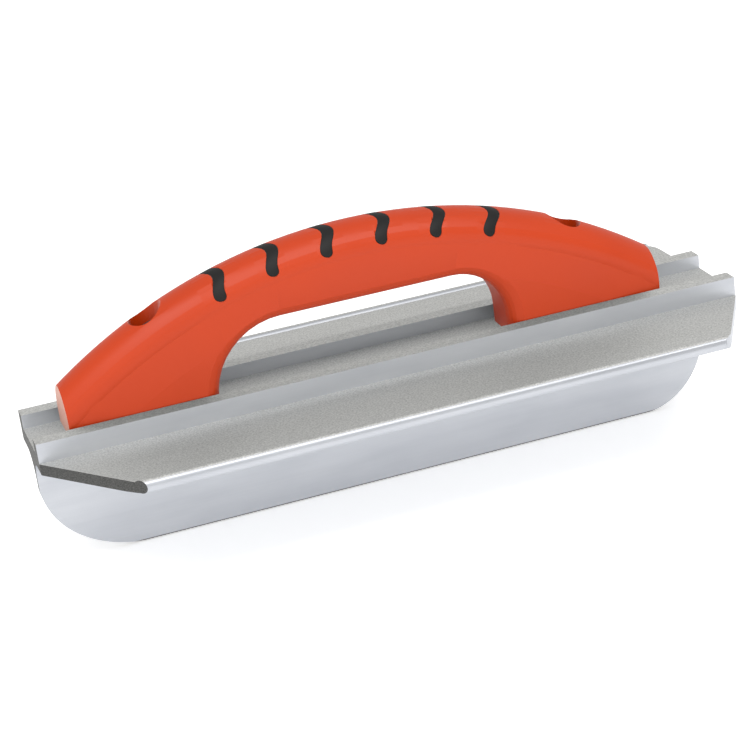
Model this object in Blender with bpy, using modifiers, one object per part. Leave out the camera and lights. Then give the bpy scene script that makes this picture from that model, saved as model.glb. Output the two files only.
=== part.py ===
"""Hand-held concrete float and groover: an extruded magnesium body with a centre fin, and a moulded grip handle.

Metres, +Z up. X runs along the tool, Y across it. The origin is under the middle of the body, at the
fin's lower edge.
"""

from math import asin, cos, pi, radians, sin, sqrt

import bmesh
import bpy
from mathutils import Matrix, Vector

MM = 0.001
GAP = 0.3 * MM  # clearance between pieces that touch

# Extruded body. Heights are measured from the fin's lower edge.
BODY_LENGTH = 305 * MM
RIB_TOP = 61.2 * MM
RIB_OUTER = 21.1 * MM
RIB_INNER = 13.75 * MM
CHANNEL_DEPTH = 5.9 * MM
RIB_HEIGHT = 8.3 * MM
WING_THICKNESS = 4.8 * MM
WING_FLAT = 57 * MM  # where the underside starts to rise to the bead
BEAD_CENTRE = 63.6 * MM
BEAD_RADIUS = 2.75 * MM
BEAD_RISE = 1.1 * MM  # above the wing
FIN_THICKNESS = 3.0 * MM
ROOT_FILLET = 10.0 * MM
FIN_EDGE_ROUND = 1.2 * MM

FLOOR = RIB_TOP - CHANNEL_DEPTH
WING_TOP = RIB_TOP - RIB_HEIGHT
WING_UNDERSIDE = WING_TOP - WING_THICKNESS

# How the body's ends are cut. The fin's rounded corners are a superellipse.
FIN_LEFT_END = -BODY_LENGTH / 2 - 0.3 * MM
FIN_RIGHT_END = 145 * MM
FIN_LEFT_CORNER = (48 * MM, 38.5 * MM)
FIN_RIGHT_CORNER = (35 * MM, 39 * MM)
FIN_CORNER_POWER = 2.2
LEFT_CLIP = 34 * MM  # how far the wing is cut back at its bead
FAR_LEFT_CLIP = 44 * MM
RIGHT_CLIP = 24 * MM
CLIP_ROUND = 5 * MM
RIGHT_ROUND = 9 * MM
SQUARE_TAPER = 1.2 * MM
SQUARE_ROUND = 12 * MM

# Handle. Its rounded top is a ring's outer side, and its sides are flat.
HANDLE_APEX = -6.5 * MM
HANDLE_LEFT_END = -137.2 * MM
HANDLE_RIGHT_END = 121.6 * MM
HANDLE_HALF_WIDTH = RIB_INNER - GAP
HANDLE_TOP = RIB_TOP + 56.4 * MM
HANDLE_ARC_RADIUS = 223 * MM
HANDLE_BOTTOM = FLOOR + GAP

# Finger gap, with a different corner at each end and rounded lips.
GAP_LEFT = -74 * MM
GAP_RIGHT = 53 * MM
GAP_CEILING = RIB_TOP + 25 * MM
GAP_LEFT_RADIUS = 30 * MM
GAP_RIGHT_RADIUS = 22 * MM
GAP_LIP = 6.5 * MM

# Rigid core inside the grip
CORE_HALF_WIDTH = 8.4 * MM
CORE_COVER_TOP = 7.5 * MM
CORE_COVER = 4.5 * MM

# Fixing screws
SCREW_XS = (-97.3 * MM, 85.7 * MM)
BORE_RADIUS = 7.2 * MM
CLEARANCE_RADIUS = 3.4 * MM
SEAT = RIB_TOP + 9 * MM
WASHER_RADIUS = 6.4 * MM
WASHER_THICKNESS = 1.2 * MM
SCREW_HEAD_RADIUS = 5.4 * MM
SCREW_HEAD_HEIGHT = 4.2 * MM
SCREW_SHANK_RADIUS = 3.0 * MM
TAPPED_DEPTH = 8.6 * MM
DRIVE_RADIUS = 2.7 * MM
DRIVE_DEPTH = 2.4 * MM

# Inlaid stripes over the top of the grip
STRIPE_COUNT = 6
STRIPE_FIRST_ANGLE = radians(-16)
STRIPE_STEP_ANGLE = radians(6.25)
STRIPE_WIDTH = 4.8 * MM
STRIPE_DEPTH = 1.6 * MM
STRIPE_SUNK = 0.15 * MM
STRIPE_REACH = radians(72)  # how far the stripe comes down each side
STRIPE_SWAY = 1.8 * MM
STRIPE_WAVE = radians(84)

ARC_STEPS = 10
RING_STEPS = 48
ROUND_STEPS = 32


def clear_scene():
    for obj in list(bpy.data.objects):
        bpy.data.objects.remove(obj, do_unlink=True)


def new_collection(name):
    collection = bpy.data.collections.new(name)
    bpy.context.scene.collection.children.link(collection)
    return collection


def material(name, colour, roughness, metallic):
    made = bpy.data.materials.new(name)
    made.use_nodes = True
    shader = made.node_tree.nodes["Principled BSDF"]
    shader.inputs["Base Color"].default_value = (*colour, 1.0)
    shader.inputs["Roughness"].default_value = roughness
    shader.inputs["Metallic"].default_value = metallic
    return made


def arc(centre, radii, start, end, steps=ARC_STEPS, power=2.0):
    """Points of an elliptical arc; a power above 2 makes its corner fuller."""
    points = []
    for step in range(steps + 1):
        angle = start + (end - start) * step / steps
        c, s = cos(angle), sin(angle)
        points.append((
            centre[0] + radii[0] * abs(c) ** (2 / power) * (1 if c >= 0 else -1),
            centre[1] + radii[1] * abs(s) ** (2 / power) * (1 if s >= 0 else -1),
        ))
    return points


def prism(name, outline, half_depth, rotation, location=(0, 0, 0)):
    """A flat outline extruded both ways, as a closed mesh."""
    curve = bpy.data.curves.new(name + "_outline", "CURVE")
    curve.dimensions = "2D"
    curve.fill_mode = "BOTH"
    curve.extrude = half_depth
    spline = curve.splines.new("POLY")
    spline.points.add(len(outline) - 1)
    for point, (u, v) in zip(spline.points, outline):
        point.co = (u, v, 0, 1)
    spline.use_cyclic_u = True
    guide = bpy.data.objects.new(name + "_outline", curve)
    guide.rotation_euler = rotation
    guide.location = location
    PARTS.objects.link(guide)
    bpy.context.view_layer.update()
    graph = bpy.context.evaluated_depsgraph_get()
    mesh = bpy.data.meshes.new_from_object(guide.evaluated_get(graph))
    shape = bmesh.new()
    shape.from_mesh(mesh)
    bmesh.ops.remove_doubles(shape, verts=shape.verts, dist=1e-6)
    bmesh.ops.recalc_face_normals(shape, faces=shape.faces)
    shape.to_mesh(mesh)
    shape.free()
    made = bpy.data.objects.new(name, mesh)
    made.matrix_world = guide.matrix_world.copy()
    bpy.data.objects.remove(guide, do_unlink=True)
    PARTS.objects.link(made)
    return made


def side_prism(name, outline, half_depth):
    """An outline in X and Z, extruded across the tool."""
    return prism(name, outline, half_depth, (pi / 2, 0, 0))


def section_prism(name, outline, half_depth):
    """An outline in Y and Z, extruded along the tool."""
    return prism(name, outline, half_depth, (pi / 2, 0, pi / 2))


def cylinder(name, radius, low, high, x, y=0.0, steps=ROUND_STEPS):
    bpy.ops.mesh.primitive_cylinder_add(
        vertices=steps, radius=radius, depth=high - low, location=(x, y, (low + high) / 2)
    )
    made = bpy.context.active_object
    made.name = name
    for holder in made.users_collection:
        holder.objects.unlink(made)
    PARTS.objects.link(made)
    return made


def as_cutter(obj):
    PARTS.objects.unlink(obj)
    CUTTERS.objects.link(obj)
    obj.hide_render = True
    obj.display_type = "WIRE"
    return obj


def combine(target, other, operation):
    """Adds a Boolean with another object, which becomes a helper."""
    modifier = target.modifiers.new(operation.title() + "_" + other.name, "BOOLEAN")
    modifier.operation = operation
    modifier.solver = "EXACT"
    modifier.object = as_cutter(other)


def finish(obj, surface, smooth_angle=35):
    obj.data.materials.clear()
    obj.data.materials.append(surface)
    obj.data.shade_smooth()
    obj.data.set_sharp_from_angle(angle=radians(smooth_angle))


def body_section():
    """Half of the extrusion's outline, from the fin's lower edge up to the channel floor's middle."""
    half_fin = FIN_THICKNESS / 2
    edge = half_fin - FIN_EDGE_ROUND
    points = arc((edge, FIN_EDGE_ROUND), (FIN_EDGE_ROUND, FIN_EDGE_ROUND), -pi / 2, 0, 4)
    root = (half_fin + ROOT_FILLET, WING_UNDERSIDE - ROOT_FILLET)
    points += arc(root, (ROOT_FILLET, ROOT_FILLET), pi, pi / 2, 8)
    points.append((WING_FLAT, WING_UNDERSIDE))
    bead = (BEAD_CENTRE, WING_TOP + BEAD_RISE - BEAD_RADIUS)
    valley = asin((WING_TOP - bead[1]) / BEAD_RADIUS)
    points += arc(bead, (BEAD_RADIUS, BEAD_RADIUS), -0.55 * pi, pi - valley, 14)
    points += [(RIB_OUTER, WING_TOP), (RIB_OUTER, RIB_TOP), (RIB_INNER, RIB_TOP), (RIB_INNER, FLOOR)]
    return points


def rounded(corners):
    """A closed outline whose corners with a radius are arcs."""
    outline = []
    count = len(corners)
    for index, (x, y, radius) in enumerate(corners):
        here = Vector((x, y))
        if not radius:
            outline.append((x, y))
            continue
        before = (Vector(corners[index - 1][:2]) - here).normalized()
        after = (Vector(corners[(index + 1) % count][:2]) - here).normalized()
        half_turn = before.angle(after) / 2
        centre = here + (before + after).normalized() * radius / sin(half_turn)
        reach = radius / (sin(half_turn) / cos(half_turn))
        start = here + before * reach - centre
        turn = start.angle_signed(here + after * reach - centre)
        for step in range(7):
            spoke = Matrix.Rotation(-turn * step / 6, 2) @ start
            outline.append(tuple(centre + spoke))
    return outline


def body_plan():
    """The body seen from above: three clipped corners and one square one."""
    end = BODY_LENGTH / 2
    shoulder = RIB_OUTER + GAP
    edge = BEAD_CENTRE + BEAD_RADIUS + 2 * MM
    grow = (edge - shoulder) / (BEAD_CENTRE + BEAD_RADIUS - shoulder)
    return rounded([
        (-end, -shoulder, 0),
        (-end + LEFT_CLIP * grow, -edge, CLIP_ROUND),
        (end - RIGHT_CLIP * grow, -BEAD_CENTRE - BEAD_RADIUS - GAP, RIGHT_ROUND),
        (end, -shoulder, 0),
        (end, shoulder, 0),
        (end - SQUARE_TAPER, BEAD_CENTRE + BEAD_RADIUS + GAP, SQUARE_ROUND),
        (-end + FAR_LEFT_CLIP * grow, BEAD_CENTRE + BEAD_RADIUS + GAP, CLIP_ROUND),
        (-end, shoulder, 0),
    ])


def fin_outline():
    """The fin seen from the side, on a block that leaves everything above it."""
    margin = 10 * MM
    end = BODY_LENGTH / 2 + margin
    left_centre = (FIN_LEFT_END + FIN_LEFT_CORNER[0], FIN_LEFT_CORNER[1] - GAP)
    right_centre = (FIN_RIGHT_END - FIN_RIGHT_CORNER[0], FIN_RIGHT_CORNER[1] - GAP)
    left = arc(left_centre, FIN_LEFT_CORNER, pi, 1.5 * pi, 20, FIN_CORNER_POWER)
    right = arc(right_centre, FIN_RIGHT_CORNER, 1.5 * pi, 2 * pi, 20, FIN_CORNER_POWER)
    top = RIB_TOP + margin
    ledge = WING_UNDERSIDE - GAP
    return (
        [(-end, top), (-end, left_centre[1])]
        + left
        + right
        + [(FIN_RIGHT_END, ledge), (end, ledge), (end, top)]
    )


def make_body():
    half = body_section()
    outline = half + [(-y, z) for y, z in reversed(half)]
    body = section_prism("extruded_body", outline, BODY_LENGTH / 2 + 8 * MM)
    combine(body, prism("body_plan", body_plan(), RIB_TOP * 2, (0, 0, 0)), "INTERSECT")
    combine(body, side_prism("fin_outline", fin_outline(), BEAD_CENTRE * 2), "INTERSECT")
    for side, x in zip(("left", "right"), SCREW_XS):
        hole = cylinder("tapped_hole_" + side, SCREW_SHANK_RADIUS + GAP, FLOOR - TAPPED_DEPTH, FLOOR + 3 * MM, x)
        combine(body, hole, "DIFFERENCE")
    finish(body, MAGNESIUM)


def gap_outline(grow, floor):
    """The finger gap seen from the side, grown outwards."""
    left_centre = (GAP_LEFT + GAP_LEFT_RADIUS, GAP_CEILING - GAP_LEFT_RADIUS)
    right_centre = (GAP_RIGHT - GAP_RIGHT_RADIUS, GAP_CEILING - GAP_RIGHT_RADIUS)
    left = arc(left_centre, (GAP_LEFT_RADIUS + grow,) * 2, pi, pi / 2)
    right = arc(right_centre, (GAP_RIGHT_RADIUS + grow,) * 2, pi / 2, 0)
    return [(GAP_LEFT - grow, floor)] + left + right + [(GAP_RIGHT + grow, floor)]


def gap_cutter(name):
    """The gap's outline at steps across the handle, flared at both sides, bridged into one closed shape."""
    floor = HANDLE_BOTTOM - 10 * MM
    levels = [(HANDLE_HALF_WIDTH + 3 * MM, GAP_LIP)]
    for step in range(7):
        angle = radians(84) * (6 - step) / 6
        levels.append((HANDLE_HALF_WIDTH - GAP_LIP + GAP_LIP * sin(angle), GAP_LIP * (1 - cos(angle))))
    levels += [(-y, grow) for y, grow in reversed(levels)]
    shape = bmesh.new()
    rings = []
    for y, grow in levels:
        verts = [shape.verts.new((x, y, z)) for x, z in gap_outline(grow, floor)]
        rings.append([shape.edges.new((verts[i - 1], verts[i])) for i in range(len(verts))])
    for first, second in zip(rings, rings[1:]):
        bmesh.ops.bridge_loops(shape, edges=first + second)
    for ring in (rings[0], rings[-1]):
        bmesh.ops.contextual_create(shape, geom=ring)
    bmesh.ops.recalc_face_normals(shape, faces=shape.faces)
    mesh = bpy.data.meshes.new(name)
    shape.to_mesh(mesh)
    shape.free()
    made = bpy.data.objects.new(name, mesh)
    PARTS.objects.link(made)
    return made


def arched_bar(name, half_width, cover):
    """A round-topped section spun about the handle's arc centre, which is below the tool."""
    low = HANDLE_ARC_RADIUS - 68 * MM
    top = HANDLE_ARC_RADIUS - cover
    crown = arc((0, top - half_width), (half_width, half_width), 0, pi, 16)
    outline = [(half_width, low)] + crown + [(-half_width, low)]
    reach = radians(40)
    shape = bmesh.new()
    verts = [shape.verts.new((0, y, r)) for y, r in outline]
    face = shape.faces.new(verts)
    turn = Matrix.Rotation(-reach, 3, "Y")
    bmesh.ops.rotate(shape, verts=shape.verts, cent=(0, 0, 0), matrix=turn)
    bmesh.ops.spin(
        shape, geom=[face] + list(face.edges) + verts, cent=(0, 0, 0), axis=(0, 1, 0),
        angle=2 * reach, steps=RING_STEPS, use_duplicate=False,
    )
    bmesh.ops.recalc_face_normals(shape, faces=shape.faces)
    centre = Vector((HANDLE_APEX, 0, HANDLE_TOP - HANDLE_ARC_RADIUS))
    bmesh.ops.translate(shape, verts=shape.verts, vec=centre)
    mesh = bpy.data.meshes.new(name)
    shape.to_mesh(mesh)
    shape.free()
    made = bpy.data.objects.new(name, mesh)
    PARTS.objects.link(made)
    return made


def handle_block(name):
    """The space that the handle may fill, from one end face to the other."""
    low, high = HANDLE_BOTTOM, HANDLE_TOP + 5 * MM
    outline = [
        (HANDLE_LEFT_END, low), (HANDLE_RIGHT_END, low), (HANDLE_RIGHT_END, high), (HANDLE_LEFT_END, high)
    ]
    return side_prism(name, outline, HANDLE_HALF_WIDTH * 2)


def core_outline(shrink, bottom):
    """The core seen from the side: an arch that follows the grip, with a foot at each end."""
    arc_centre = HANDLE_TOP - HANDLE_ARC_RADIUS
    radius = HANDLE_ARC_RADIUS - CORE_COVER_TOP - shrink
    left = HANDLE_LEFT_END + CORE_COVER + shrink
    right = HANDLE_RIGHT_END - CORE_COVER - shrink
    start = pi / 2 - asin((right - HANDLE_APEX) / radius)
    end = pi / 2 + asin((HANDLE_APEX - left) / radius)
    top = arc((HANDLE_APEX, arc_centre), (radius, radius), start, end, 32)
    return [(right, bottom)] + top + [(left, bottom)] + gap_outline(CORE_COVER + shrink, bottom)


def screw_bores(name, radius, low, high):
    return [cylinder(f"{name}_{side}", radius, low, high, x) for side, x in zip(("left", "right"), SCREW_XS)]


def stripe_shape(name, index, depth, sunk, grow):
    """One S-shaped inlay, lofted from side to side over the grip's rounded top."""
    lean = STRIPE_FIRST_ANGLE + STRIPE_STEP_ANGLE * index
    crown = HANDLE_ARC_RADIUS - HANDLE_HALF_WIDTH
    reach = STRIPE_REACH + grow / HANDLE_HALF_WIDTH
    tip = (STRIPE_WIDTH / 2 + grow) / HANDLE_HALF_WIDTH
    steps = 26
    shape = bmesh.new()
    rows = []
    for step in range(steps + 1):
        across = -reach * cos(pi * step / steps)
        from_tip = min(1.0, max(0.0, (reach - abs(across)) / tip))
        half = (STRIPE_WIDTH / 2 + grow) * max(0.12, sqrt(1 - (1 - from_tip) ** 2))
        sway = -STRIPE_SWAY * sin(2 * pi * across / STRIPE_WAVE)
        row = []
        for side, radius in ((-1, -depth), (1, -depth), (1, -sunk), (-1, -sunk)):
            r = crown + (HANDLE_HALF_WIDTH + radius) * cos(across)
            angle = lean + (sway + side * half) / HANDLE_ARC_RADIUS
            row.append(shape.verts.new((
                HANDLE_APEX + r * sin(angle),
                (HANDLE_HALF_WIDTH + radius) * sin(across),
                HANDLE_TOP - HANDLE_ARC_RADIUS + r * cos(angle),
            )))
        rows.append(row)
    for first, second in zip(rows, rows[1:]):
        for i in range(4):
            j = (i + 1) % 4
            shape.faces.new((first[i], first[j], second[j], second[i]))
    shape.faces.new(rows[0])
    shape.faces.new(rows[-1])
    bmesh.ops.recalc_face_normals(shape, faces=shape.faces)
    mesh = bpy.data.meshes.new(name)
    shape.to_mesh(mesh)
    shape.free()
    made = bpy.data.objects.new(name, mesh)
    PARTS.objects.link(made)
    return made


def make_grip():
    grip = arched_bar("handle_grip", HANDLE_HALF_WIDTH, 0)
    combine(grip, handle_block("handle_block"), "INTERSECT")
    combine(grip, gap_cutter("finger_gap"), "DIFFERENCE")
    cavity = side_prism("core_cavity", core_outline(-GAP, HANDLE_BOTTOM - 8 * MM), CORE_HALF_WIDTH + GAP)
    combine(grip, cavity, "DIFFERENCE")
    for bore in screw_bores("grip_bore", BORE_RADIUS, SEAT, HANDLE_TOP + 5 * MM):
        combine(grip, bore, "DIFFERENCE")
    for index in range(STRIPE_COUNT):
        recess = stripe_shape(f"stripe_recess_{index + 1}", index, STRIPE_DEPTH + GAP, -1.5 * MM, GAP)
        combine(grip, recess, "DIFFERENCE")
    finish(grip, ORANGE)


def make_core():
    core = side_prism("handle_core", core_outline(0, HANDLE_BOTTOM), CORE_HALF_WIDTH)
    for bore in screw_bores("core_bore", BORE_RADIUS, SEAT, HANDLE_TOP):
        combine(core, bore, "DIFFERENCE")
    for bore in screw_bores("core_hole", CLEARANCE_RADIUS, HANDLE_BOTTOM - 5 * MM, SEAT + 2 * MM):
        combine(core, bore, "DIFFERENCE")
    finish(core, NYLON)


def make_stripes():
    for index in range(STRIPE_COUNT):
        finish(stripe_shape(f"grip_stripe_{index + 1}", index, STRIPE_DEPTH, STRIPE_SUNK, 0), RUBBER)


def make_screws():
    head_low = SEAT + GAP + WASHER_THICKNESS + GAP
    head_high = head_low + SCREW_HEAD_HEIGHT
    for side, x in zip(("left", "right"), SCREW_XS):
        washer = cylinder("screw_washer_" + side, WASHER_RADIUS, SEAT + GAP, SEAT + GAP + WASHER_THICKNESS, x)
        combine(washer, cylinder("washer_hole_" + side, CLEARANCE_RADIUS, SEAT - GAP, head_high, x), "DIFFERENCE")
        finish(washer, ZINC)
        screw = cylinder("handle_screw_" + side, SCREW_HEAD_RADIUS, head_low, head_high, x)
        rim = screw.modifiers.new("Rounded_head", "BEVEL")
        rim.width = 1.0 * MM
        rim.segments = 2
        rim.angle_limit = radians(60)
        shank_low = FLOOR - TAPPED_DEPTH + GAP
        shank = cylinder("screw_shank_" + side, SCREW_SHANK_RADIUS, shank_low, head_low + 2 * MM, x)
        combine(screw, shank, "UNION")
        drive = cylinder("screw_drive_" + side, DRIVE_RADIUS, head_high - DRIVE_DEPTH, head_high + 2 * MM, x, steps=6)
        combine(screw, drive, "DIFFERENCE")
        finish(screw, ZINC)


clear_scene()
PARTS = new_collection("Hand_float_groover")
CUTTERS = new_collection("Cutters")
CUTTERS.hide_render = True
MAGNESIUM = material("Magnesium_extrusion", (0.46, 0.46, 0.45), 0.42, 0.9)
ORANGE = material("Orange_moulded_grip", (0.72, 0.085, 0.025), 0.5, 0.0)
NYLON = material("Black_nylon_core", (0.02, 0.02, 0.02), 0.6, 0.0)
RUBBER = material("Black_rubber_inlay", (0.022, 0.021, 0.02), 0.45, 0.0)
ZINC = material("Zinc_plated_steel", (0.55, 0.55, 0.56), 0.3, 1.0)
make_body()
make_grip()
make_core()
make_stripes()
make_screws()
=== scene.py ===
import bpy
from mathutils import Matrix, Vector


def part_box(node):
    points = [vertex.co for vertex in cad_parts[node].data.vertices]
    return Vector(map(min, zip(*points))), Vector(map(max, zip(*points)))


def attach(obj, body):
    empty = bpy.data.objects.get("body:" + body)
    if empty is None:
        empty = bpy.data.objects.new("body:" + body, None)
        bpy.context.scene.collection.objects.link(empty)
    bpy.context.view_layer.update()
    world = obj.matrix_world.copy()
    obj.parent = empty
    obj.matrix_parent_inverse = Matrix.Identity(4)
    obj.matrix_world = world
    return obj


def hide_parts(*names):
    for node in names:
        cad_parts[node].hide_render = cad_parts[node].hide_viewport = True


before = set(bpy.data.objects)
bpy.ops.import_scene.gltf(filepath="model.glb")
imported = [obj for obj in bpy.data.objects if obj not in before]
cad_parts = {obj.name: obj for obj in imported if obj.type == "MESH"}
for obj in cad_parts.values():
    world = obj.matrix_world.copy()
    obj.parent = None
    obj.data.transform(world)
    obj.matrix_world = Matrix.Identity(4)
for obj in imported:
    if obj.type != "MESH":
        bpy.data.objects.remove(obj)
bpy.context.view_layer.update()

from math import cos, radians, sin

import bmesh
import bpy
from mathutils import Matrix, Vector

print("frame loaded:", len(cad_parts), "nodes")

mm = 0.001
joinDistance = 0.002 * mm    # corners of the CAD's triangles this close are one
flatAngle = 0.6              # neighbouring faces this near to flat, in degrees, are one


def toLinear(hexColour):
    channels = [int(hexColour[i:i + 2], 16) / 255 for i in (1, 3, 5)]
    return [c / 12.92 if c <= 0.04045 else ((c + 0.055) / 1.055) ** 2.4 for c in channels] + [1.0]


def grainOf(x, y, z):
    # a Mapping scale that gives a pattern this many millimetres along X, Y and Z
    return (1 / (x * mm), 1 / (y * mm), 1 / (z * mm))


def addNode(material, kind, settings=None, values=None, links=None):
    # settings are the node's own, values set its sockets, links bring in other nodes' outputs
    node = material.node_tree.nodes.new(kind)
    for key, value in (settings or {}).items():
        setattr(node, key, value)
    for key, value in (values or {}).items():
        node.inputs[key].default_value = value
    for key, socket in (links or {}).items():
        material.node_tree.links.new(socket, node.inputs[key])
    return node


def newMaterial(name, colour, roughness, metallic=0.0):
    material = bpy.data.materials.new(name)
    material.use_nodes = True
    shader = material.node_tree.nodes["Principled BSDF"]
    shader.inputs["Base Color"].default_value = toLinear(colour)
    shader.inputs["Roughness"].default_value = roughness
    shader.inputs["Metallic"].default_value = metallic
    place = addNode(material, "ShaderNodeTexCoord").outputs["Object"]
    return material, shader, place


def feed(material, socket, shader, name):
    material.node_tree.links.new(socket, shader.inputs[name])


def pieceFrom(shape, name, materials, node, smoothAngle=35):
    mesh = bpy.data.meshes.new(name)
    shape.to_mesh(mesh)
    shape.free()
    piece = bpy.data.objects.new(name, mesh)
    bpy.context.scene.collection.objects.link(piece)
    for material in materials:
        mesh.materials.append(material)
    mesh.shade_smooth()
    mesh.set_sharp_from_angle(angle=radians(smoothAngle))
    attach(piece, "root")
    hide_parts(node)
    return piece


def evenShading(piece):
    weighted = piece.modifiers.new("Even shading", "WEIGHTED_NORMAL")
    weighted.keep_sharp = True


def mergedCopy(nodeName):
    # the CAD solid's triangles, joined and with its flat faces whole again
    shape = bmesh.new()
    shape.from_mesh(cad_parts[nodeName].data)
    bmesh.ops.remove_doubles(shape, verts=shape.verts, dist=joinDistance)
    bmesh.ops.dissolve_limit(
        shape, angle_limit=radians(flatAngle), verts=shape.verts, edges=shape.edges,
        use_dissolve_boundaries=False,
    )
    return shape


def bevelEdges(shape, edges, width, segments=2):
    bmesh.ops.bevel(
        shape, geom=list(edges), offset=width, offset_type="OFFSET", segments=segments, profile=0.5,
        affect="EDGES", material=-1, clamp_overlap=True,
    )


def sharpEdges(shape, angle):
    return [edge for edge in shape.edges if edge.is_manifold and edge.calc_face_angle(0) > radians(angle)]


# Magnesium body: one extrusion, cut off at its ends and clipped at three corners
bodyLook = {
    "edgeBreak": 0.25 * mm,
    "sharpAngle": 40,        # edges that turn by more than this many degrees are broken
    # how a face gets its finish; a tilt is the part of its unit normal along one axis
    "finReach": 36 * mm,     # faces whose middle is less than this above the bottom are the fin's
    "leftTilt": 0.35,        # faces that point this far left get the dark sawn finish; on the left corner cuts it is partly painted shade
    "rightTilt": 0.95,       # and on the right only the square end does: the right corner cuts keep the lighter drawn finish as painted light
    "finEdgeTilt": 0.9,      # the fin's outline points less far sideways than this
    "levelTilt": 0.9,        # faces that point this far up are grained
}


def grainedMagnesium():
    # wrought magnesium, taken to be blasted after extrusion: matt pewter grain that scatters the light
    # the real grain is finer, and is drawn at 0.8 mm so that it shows
    material, shader, place = newMaterial("grainedMagnesium", "#D0CFCA", 0.62, 1.0)
    fine = addNode(
        material, "ShaderNodeMapping", values={"Scale": grainOf(0.8, 0.8, 0.8)}, links={"Vector": place},
    )
    speckle = addNode(
        material, "ShaderNodeTexNoise", values={"Scale": 1.0, "Detail": 2.0, "Roughness": 0.7},
        links={"Vector": fine.outputs["Vector"]},
    ).outputs["Fac"]
    long = addNode(
        material, "ShaderNodeMapping", values={"Scale": grainOf(60, 14, 14)}, links={"Vector": place},
    )
    drift = addNode(
        material, "ShaderNodeTexNoise", values={"Scale": 1.0, "Detail": 3.0},
        links={"Vector": long.outputs["Vector"]},
    ).outputs["Fac"]
    spread = addNode(
        material, "ShaderNodeMapRange", values={"From Min": 0.32, "From Max": 0.68},
        links={"Value": speckle},
    )
    tone = addNode(
        material, "ShaderNodeMix", {"data_type": "RGBA"},
        {"A": toLinear("#A6A6A3"), "B": toLinear("#F4F4F1")}, {"Factor": spread.outputs["Result"]},
    )
    wash = addNode(
        material, "ShaderNodeMix", {"data_type": "RGBA"},
        {"A": toLinear("#CBCBC8"), "B": toLinear("#E2E2E0")}, {"Factor": drift},
    )
    both = addNode(
        material, "ShaderNodeMix", {"data_type": "RGBA"}, {"Factor": 0.5},
        {"A": tone.outputs["Result"], "B": wash.outputs["Result"]},
    )
    bump = addNode(
        material, "ShaderNodeBump", values={"Strength": 0.4, "Distance": 0.12 * mm},
        links={"Height": speckle},
    )
    feed(material, both.outputs["Result"], shader, "Base Color")
    feed(material, bump.outputs["Normal"], shader, "Normal")
    return material


def drawnMagnesium():
    # the same alloy where the die left it smooth: faint lines along the tool and a cool even sheen
    # real die lines are finer, and are drawn 0.7 mm apart so that they show
    material, shader, place = newMaterial("drawnMagnesium", "#C9CCD2", 0.42, 1.0)
    lengthwise = addNode(
        material, "ShaderNodeMapping", values={"Scale": grainOf(90, 0.7, 0.7)}, links={"Vector": place},
    )
    lines = addNode(
        material, "ShaderNodeTexNoise", values={"Scale": 1.0, "Detail": 4.0},
        links={"Vector": lengthwise.outputs["Vector"]},
    ).outputs["Fac"]
    broad = addNode(
        material, "ShaderNodeMapping", values={"Scale": grainOf(40, 9, 9)}, links={"Vector": place},
    )
    cloud = addNode(
        material, "ShaderNodeTexNoise", values={"Scale": 1.0, "Detail": 3.0},
        links={"Vector": broad.outputs["Vector"]},
    ).outputs["Fac"]
    tone = addNode(
        material, "ShaderNodeMix", {"data_type": "RGBA"},
        {"A": toLinear("#B2B5BB"), "B": toLinear("#C9CBCF")}, {"Factor": cloud},
    )
    rough = addNode(
        material, "ShaderNodeMapRange",
        values={"From Min": 0.3, "From Max": 0.7, "To Min": 0.38, "To Max": 0.48}, links={"Value": lines},
    )
    bump = addNode(
        material, "ShaderNodeBump", values={"Strength": 0.1, "Distance": 0.04 * mm},
        links={"Height": lines},
    )
    feed(material, tone.outputs["Result"], shader, "Base Color")
    feed(material, rough.outputs["Result"], shader, "Roughness")
    feed(material, bump.outputs["Normal"], shader, "Normal")
    return material


def sawnMagnesium():
    # the ends, the left corner cuts and the fin's outline, taken to be sawn: dark, torn and matt; the left
    # corner cuts are dark partly as painted shade, while the right ones, cut the same way, keep the
    # lighter drawn finish as painted light
    material, shader, place = newMaterial("sawnMagnesium", "#5A5A58", 0.65, 1.0)
    fine = addNode(
        material, "ShaderNodeMapping", values={"Scale": grainOf(0.8, 0.8, 0.35)}, links={"Vector": place},
    )
    marks = addNode(
        material, "ShaderNodeTexNoise", values={"Scale": 1.0, "Detail": 3.0, "Roughness": 0.7},
        links={"Vector": fine.outputs["Vector"]},
    ).outputs["Fac"]
    spread = addNode(
        material, "ShaderNodeMapRange", values={"From Min": 0.3, "From Max": 0.72}, links={"Value": marks},
    )
    tone = addNode(
        material, "ShaderNodeMix", {"data_type": "RGBA"},
        {"A": toLinear("#3C3C3B"), "B": toLinear("#777775")}, {"Factor": spread.outputs["Result"]},
    )
    bump = addNode(
        material, "ShaderNodeBump", values={"Strength": 0.5, "Distance": 0.15 * mm},
        links={"Height": marks},
    )
    feed(material, tone.outputs["Result"], shader, "Base Color")
    feed(material, bump.outputs["Normal"], shader, "Normal")
    return material


def buildBody():
    shape = mergedCopy("extruded_body")
    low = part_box("extruded_body")[0]
    grained, drawn, sawn = range(3)    # the order of the piece's materials
    # each face gets its finish before the edges are broken
    for face in shape.faces:
        normal = face.normal
        middle = face.calc_center_median()
        inFin = middle.z < low.z + bodyLook["finReach"]
        finEdge = inFin and abs(normal.y) < bodyLook["finEdgeTilt"]
        # left corner cuts take the dark finish and right ones the light one: partly painted shade and
        # painted light
        sawnEndAndShadedCut = not inFin and (normal.x < -bodyLook["leftTilt"] or normal.x > bodyLook["rightTilt"])
        if finEdge or sawnEndAndShadedCut:
            face.material_index = sawn
        elif normal.z > bodyLook["levelTilt"]:
            face.material_index = grained
        else:
            face.material_index = drawn
    bevelEdges(shape, sharpEdges(shape, bodyLook["sharpAngle"]), bodyLook["edgeBreak"])
    piece = pieceFrom(
        shape, "magnesiumBody", [grainedMagnesium(), drawnMagnesium(), sawnMagnesium()],
        "extruded_body",
    )
    evenShading(piece)


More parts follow.
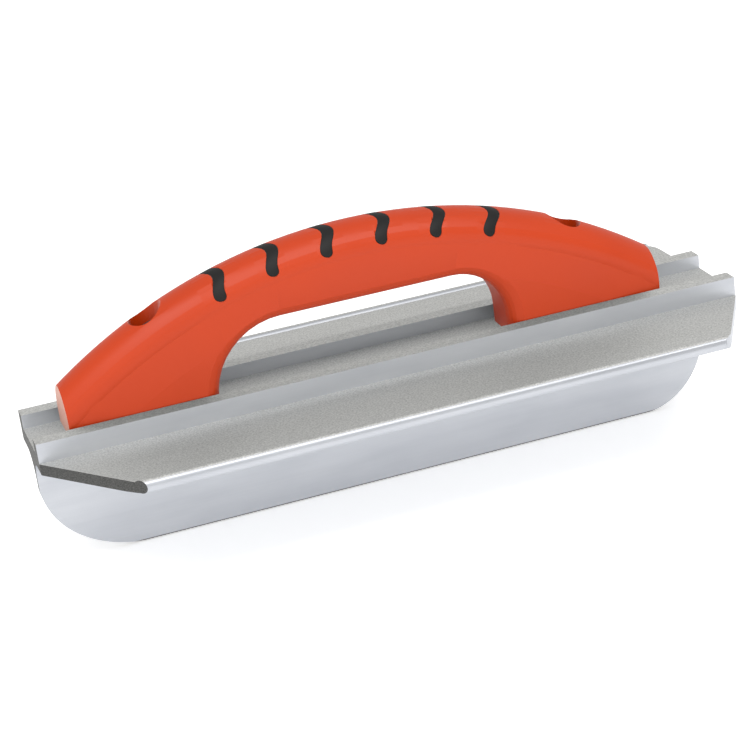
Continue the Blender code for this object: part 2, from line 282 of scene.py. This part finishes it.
# Grip: a rounded top that tucks in to a soft crease, over side panels that flare out to the foot
gripLook = {
    "arcCentre": (-6.5 * mm, -105.4 * mm),     # x and z of the centre that the grip arches about
    "roundCentre": 209.55 * mm,                # from there to the centre of the rounded top
    "roundRadius": 13.45 * mm,
    # heights above the rounded top's centre, and half widths there, in millimetres
    "flank": ((6.0, 12.04), (4.4, 12.36), (2.8, 12.55), (1.6, 12.58), (0.5, 12.38), (-13.5, 13.44)),
    # the cutters start just above the flank's first point and end below its last
    "cutterStart": 6.1 * mm,
    "cutterTop": 8 * mm,
    "cutterFoot": 16 * mm,
    "cutterOverhang": 2 * mm,
    "reach": 42,               # degrees that they run either way from the grip's top
    "steps": 120,
    "joinDistance": 0.01 * mm,
    "endTilt": 0.99,           # how squarely a face must point left to be the left end
    "endTolerance": 0.1 * mm,
    "sharpAngle": 40,
    "endRound": 0.5 * mm,
    "endSegments": 4,
    "smoothAngle": 12.5,
    "refraction": 1.42,        # a real elastomer's is about 1.5, which gives more sheen
}


def mouldedOrange():
    # thermoplastic elastomer moulded over the core: satin, with the mould's fine spark texture
    # the real texture is finer, and is drawn at 0.5 mm so that it shows
    material, shader, place = newMaterial("mouldedOrangeElastomer", "#C43A05", 0.4)
    fine = addNode(
        material, "ShaderNodeMapping", values={"Scale": grainOf(0.5, 0.5, 0.5)}, links={"Vector": place},
    )
    spark = addNode(
        material, "ShaderNodeTexNoise", values={"Scale": 1.0, "Detail": 2.0},
        links={"Vector": fine.outputs["Vector"]},
    ).outputs["Fac"]
    broad = addNode(
        material, "ShaderNodeMapping", values={"Scale": grainOf(35, 35, 35)}, links={"Vector": place},
    )
    cloud = addNode(
        material, "ShaderNodeTexNoise", values={"Scale": 1.0, "Detail": 2.0},
        links={"Vector": broad.outputs["Vector"]},
    ).outputs["Fac"]
    tone = addNode(
        material, "ShaderNodeMix", {"data_type": "RGBA"},
        {"A": toLinear("#BE3704"), "B": toLinear("#C93D06")}, {"Factor": cloud},
    )
    rough = addNode(
        material, "ShaderNodeMapRange",
        values={"From Min": 0.3, "From Max": 0.7, "To Min": 0.38, "To Max": 0.44}, links={"Value": cloud},
    )
    bump = addNode(
        material, "ShaderNodeBump", values={"Strength": 0.12, "Distance": 0.05 * mm},
        links={"Height": spark},
    )
    shader.inputs["IOR"].default_value = gripLook["refraction"]
    feed(material, tone.outputs["Result"], shader, "Base Color")
    feed(material, rough.outputs["Result"], shader, "Roughness")
    feed(material, bump.outputs["Normal"], shader, "Normal")
    return material


def paintedLightEndOrange():
    # the left end face: the same elastomer painted paler, a painted highlight as if light fell on that
    # face, with a faint random mottle
    material, shader, place = newMaterial("paintedLightEndOrangeElastomer", "#DE9480", 0.6)
    fine = addNode(
        material, "ShaderNodeMapping", values={"Scale": grainOf(1.2, 1.2, 0.4)}, links={"Vector": place},
    )
    endMottle = addNode(
        material, "ShaderNodeTexNoise", values={"Scale": 1.0, "Detail": 3.0},
        links={"Vector": fine.outputs["Vector"]},
    ).outputs["Fac"]
    tone = addNode(
        material, "ShaderNodeMix", {"data_type": "RGBA"},
        {"A": toLinear("#D59B88"), "B": toLinear("#E3AF9E")}, {"Factor": endMottle},
    )
    feed(material, tone.outputs["Result"], shader, "Base Color")
    return material


def panelCutter(side):
    # an arched bar beside the grip, whose inner face is the flank
    look = gripLook
    centre = look["roundCentre"]
    outside = look["roundRadius"] + look["cutterOverhang"]
    firstHalf = look["flank"][0][1]
    profile = [(outside, centre + look["cutterTop"]), (firstHalf * mm, centre + look["cutterStart"])]
    profile += [(half * mm, centre + rise * mm) for rise, half in look["flank"]]
    profile += [(outside, centre - look["cutterFoot"])]
    shape = bmesh.new()
    verts = [shape.verts.new((0, side * y, r)) for y, r in profile]
    face = shape.faces.new(verts)
    reach = radians(look["reach"])
    turn = Matrix.Rotation(-reach, 3, "Y")
    bmesh.ops.rotate(shape, verts=shape.verts, cent=(0, 0, 0), matrix=turn)
    bmesh.ops.spin(
        shape, geom=[face] + list(face.edges) + verts, cent=(0, 0, 0), axis=(0, 1, 0),
        angle=2 * reach, steps=look["steps"], use_merge=False, use_duplicate=False,
    )
    bmesh.ops.recalc_face_normals(shape, faces=shape.faces)
    bmesh.ops.translate(shape, verts=shape.verts, vec=(look["arcCentre"][0], 0, look["arcCentre"][1]))
    return shape


def objectOf(shape, name):
    mesh = bpy.data.meshes.new(name)
    shape.to_mesh(mesh)
    shape.free()
    made = bpy.data.objects.new(name, mesh)
    bpy.context.scene.collection.objects.link(made)
    return made


def cutAway(shape, cutters):
    # the shape less the cutters, all of them closed; the helpers are removed again
    body = objectOf(shape, "gripBlank")
    tools = [objectOf(cutter, "gripCutter") for cutter in cutters]
    for tool in tools:
        cut = body.modifiers.new("Cut", "BOOLEAN")
        cut.operation = "DIFFERENCE"
        cut.solver = "EXACT"
        cut.object = tool
    bpy.context.view_layer.update()
    result = bmesh.new()
    result.from_object(body, bpy.context.evaluated_depsgraph_get())
    for made in [body] + tools:
        bpy.data.objects.remove(made)
    return result


def buildGrip():
    look = gripLook
    shape = cutAway(mergedCopy("handle_grip"), [panelCutter(-1), panelCutter(1)])
    bmesh.ops.remove_doubles(shape, verts=shape.verts, dist=look["joinDistance"])
    low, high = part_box("handle_grip")
    near = look["endTolerance"]
    moulded, paintedLightEnd = range(2)    # the order of the piece's materials
    for face in shape.faces:
        # the left end face gets the paler colour, a painted highlight
        atLeft = face.normal.x < -look["endTilt"] and face.calc_center_median().x < low.x + near
        face.material_index = paintedLightEnd if atLeft else moulded
    rims = []
    for edge in sharpEdges(shape, look["sharpAngle"]):
        middle = (edge.verts[0].co + edge.verts[1].co) / 2
        nearEnd = min(middle.x - low.x, high.x - middle.x) < near
        if nearEnd and middle.z > low.z + near:
            rims.append(edge)
    bevelEdges(shape, rims, look["endRound"], segments=look["endSegments"])
    piece = pieceFrom(
        shape, "orangeGrip", [mouldedOrange(), paintedLightEndOrange()], "handle_grip",
        smoothAngle=look["smoothAngle"],
    )
    evenShading(piece)
    # hidden from all reflections, a liberty: real metal this rough would still take an orange tint
    piece.visible_glossy = False


# Inlays: swollen until their tops are flush with the round and the gaps beside them half as wide
# their lower ends stand up to 0.4 mm proud, where the grip's flank is cut in and they aren't
stripeLook = {
    "count": 6,
    "swell": 0.2 * mm,      # a corner moves this far, and the walls and top by about 0.14 mm
    "sharpAngle": 50,
    "rim": 0.12 * mm,
    "refraction": 1.38,     # a real elastomer's is about 1.5, which gives more sheen
}


def mouldedBlack():
    # black elastomer, moulded like the grip: satin
    # the real grain is finer, and is drawn at 0.7 mm so that it shows
    material, shader, place = newMaterial("mouldedBlackElastomer", "#12100F", 0.55)
    fine = addNode(
        material, "ShaderNodeMapping", values={"Scale": grainOf(0.7, 0.7, 0.7)}, links={"Vector": place},
    )
    spark = addNode(
        material, "ShaderNodeTexNoise", values={"Scale": 1.0, "Detail": 2.0},
        links={"Vector": fine.outputs["Vector"]},
    ).outputs["Fac"]
    tone = addNode(
        material, "ShaderNodeMix", {"data_type": "RGBA"},
        {"A": toLinear("#0E0C0B"), "B": toLinear("#161412")}, {"Factor": spark},
    )
    bump = addNode(
        material, "ShaderNodeBump", values={"Strength": 0.1, "Distance": 0.05 * mm},
        links={"Height": spark},
    )
    shader.inputs["IOR"].default_value = stripeLook["refraction"]
    feed(material, tone.outputs["Result"], shader, "Base Color")
    feed(material, bump.outputs["Normal"], shader, "Normal")
    return material


def buildStripes():
    black = mouldedBlack()
    for number in range(1, stripeLook["count"] + 1):
        node = f"grip_stripe_{number}"
        shape = mergedCopy(node)
        shape.normal_update()
        moves = [(vert, vert.normal.copy()) for vert in shape.verts]
        for vert, normal in moves:
            vert.co += normal * stripeLook["swell"]
        bevelEdges(shape, sharpEdges(shape, stripeLook["sharpAngle"]), stripeLook["rim"])
        pieceFrom(shape, f"blackInlay{number}", [black], node)


def mouldedNylon():
    # glass-filled nylon core: matt black with a faint mottle from the glass
    material, shader, place = newMaterial("mouldedNylon", "#1C1C1C", 0.6)
    fine = addNode(
        material, "ShaderNodeMapping", values={"Scale": grainOf(0.8, 0.8, 0.8)}, links={"Vector": place},
    )
    grain = addNode(
        material, "ShaderNodeTexNoise", values={"Scale": 1.0}, links={"Vector": fine.outputs["Vector"]},
    ).outputs["Fac"]
    rough = addNode(
        material, "ShaderNodeMapRange",
        values={"From Min": 0.3, "From Max": 0.7, "To Min": 0.52, "To Max": 0.68}, links={"Value": grain},
    )
    feed(material, rough.outputs["Result"], shader, "Roughness")
    return material


def zincSteel():
    # steel screws and washers, bright zinc plated: clean metal with a faint mottled tint
    material, shader, place = newMaterial("zincPlatedSteel", "#B4B6BA", 0.32, 1.0)
    fine = addNode(
        material, "ShaderNodeMapping", values={"Scale": grainOf(1.5, 1.5, 1.5)}, links={"Vector": place},
    )
    mottle = addNode(
        material, "ShaderNodeTexNoise", values={"Scale": 1.0}, links={"Vector": fine.outputs["Vector"]},
    ).outputs["Fac"]
    tone = addNode(
        material, "ShaderNodeMix", {"data_type": "RGBA"},
        {"A": toLinear("#A9ABB0"), "B": toLinear("#BFC1C4")}, {"Factor": mottle},
    )
    feed(material, tone.outputs["Result"], shader, "Base Color")
    return material


def giveMaterial(nodeName, material):
    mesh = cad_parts[nodeName].data
    mesh.materials.clear()
    mesh.materials.append(material)


# Studio: a lit white table, an overhead softbox and a front fill
studio = {
    "floorSize": 14.0,
    "floorDrop": 0.2 * mm,
    "glow": 0.5,
    "world": 0.66,
    "overhead": {"place": (-0.1, -0.9, 2.0), "size": (2.8, 0.5), "power": 26},
    "fill": {"place": (-0.5, -2.4, 1.2), "size": (2.4, 1.6), "power": 9},
}

# Camera: its place in metres, its turns in radians, its lens and sensor in millimetres
cameraSetup = {
    "place": (-0.23673, -0.85740, 0.39787),
    "yaw": 0.263666,
    "pitch": 0.375670,
    "roll": -0.138640,
    "lens": 108.782,
    "sensor": 36,
    "clipStart": 0.01,
}


def buildFloor():
    shape = bmesh.new()
    bmesh.ops.create_grid(shape, x_segments=1, y_segments=1, size=studio["floorSize"] / 2)
    floor = objectOf(shape, "studioFloor")
    floor.location.z = -studio["floorDrop"]
    # opal acrylic table, lit from below
    material, shader = newMaterial("opalAcrylic", "#F4F4F4", 0.9)[:2]
    shader.inputs["Emission Color"].default_value = (1.0, 1.0, 1.0, 1.0)
    shader.inputs["Emission Strength"].default_value = studio["glow"]
    floor.data.materials.append(material)


def buildWorld():
    world = bpy.data.worlds.new("studioWorld")
    bpy.context.scene.world = world
    world.use_nodes = True
    level = studio["world"]
    world.node_tree.nodes["Background"].inputs["Color"].default_value = (level, level, level, 1.0)


def softbox(name, place, size, power):
    light = bpy.data.lights.new(name, "AREA")
    light.shape = "RECTANGLE"
    light.size, light.size_y = size
    light.energy = power
    lamp = bpy.data.objects.new(name, light)
    lamp.location = place
    lamp.rotation_euler = (-Vector(place)).to_track_quat("-Z", "Y").to_euler()
    bpy.context.scene.collection.objects.link(lamp)


def buildCamera():
    yaw, pitch, roll = cameraSetup["yaw"], cameraSetup["pitch"], cameraSetup["roll"]
    forward = Vector((sin(yaw) * cos(pitch), cos(yaw) * cos(pitch), -sin(pitch)))
    level = Vector((cos(yaw), -sin(yaw), 0))
    upright = level.cross(forward)
    across = level * cos(roll) + upright * sin(roll)
    above = -level * sin(roll) + upright * cos(roll)
    data = bpy.data.cameras.new("camera")
    data.sensor_width = cameraSetup["sensor"]
    data.lens = cameraSetup["lens"]
    data.clip_start = cameraSetup["clipStart"]
    camera = bpy.data.objects.new("camera", data)
    turn = Matrix((across, above, -forward)).transposed()
    camera.matrix_world = Matrix.Translation(cameraSetup["place"]) @ turn.to_4x4()
    bpy.context.scene.collection.objects.link(camera)
    bpy.context.scene.camera = camera


buildBody()
print("body built")
buildGrip()
print("grip built")
buildStripes()
print("inlays built")
giveMaterial("handle_core", mouldedNylon())
zinc = zincSteel()
for nodeName in ("handle_screw_left", "handle_screw_right", "screw_washer_left", "screw_washer_right"):
    giveMaterial(nodeName, zinc)
print("core and screws finished")
buildFloor()
buildWorld()
softbox("overheadSoftbox", **studio["overhead"])
softbox("frontFill", **studio["fill"])
bpy.context.scene.view_settings.view_transform = "Standard"
buildCamera()
print("studio built")
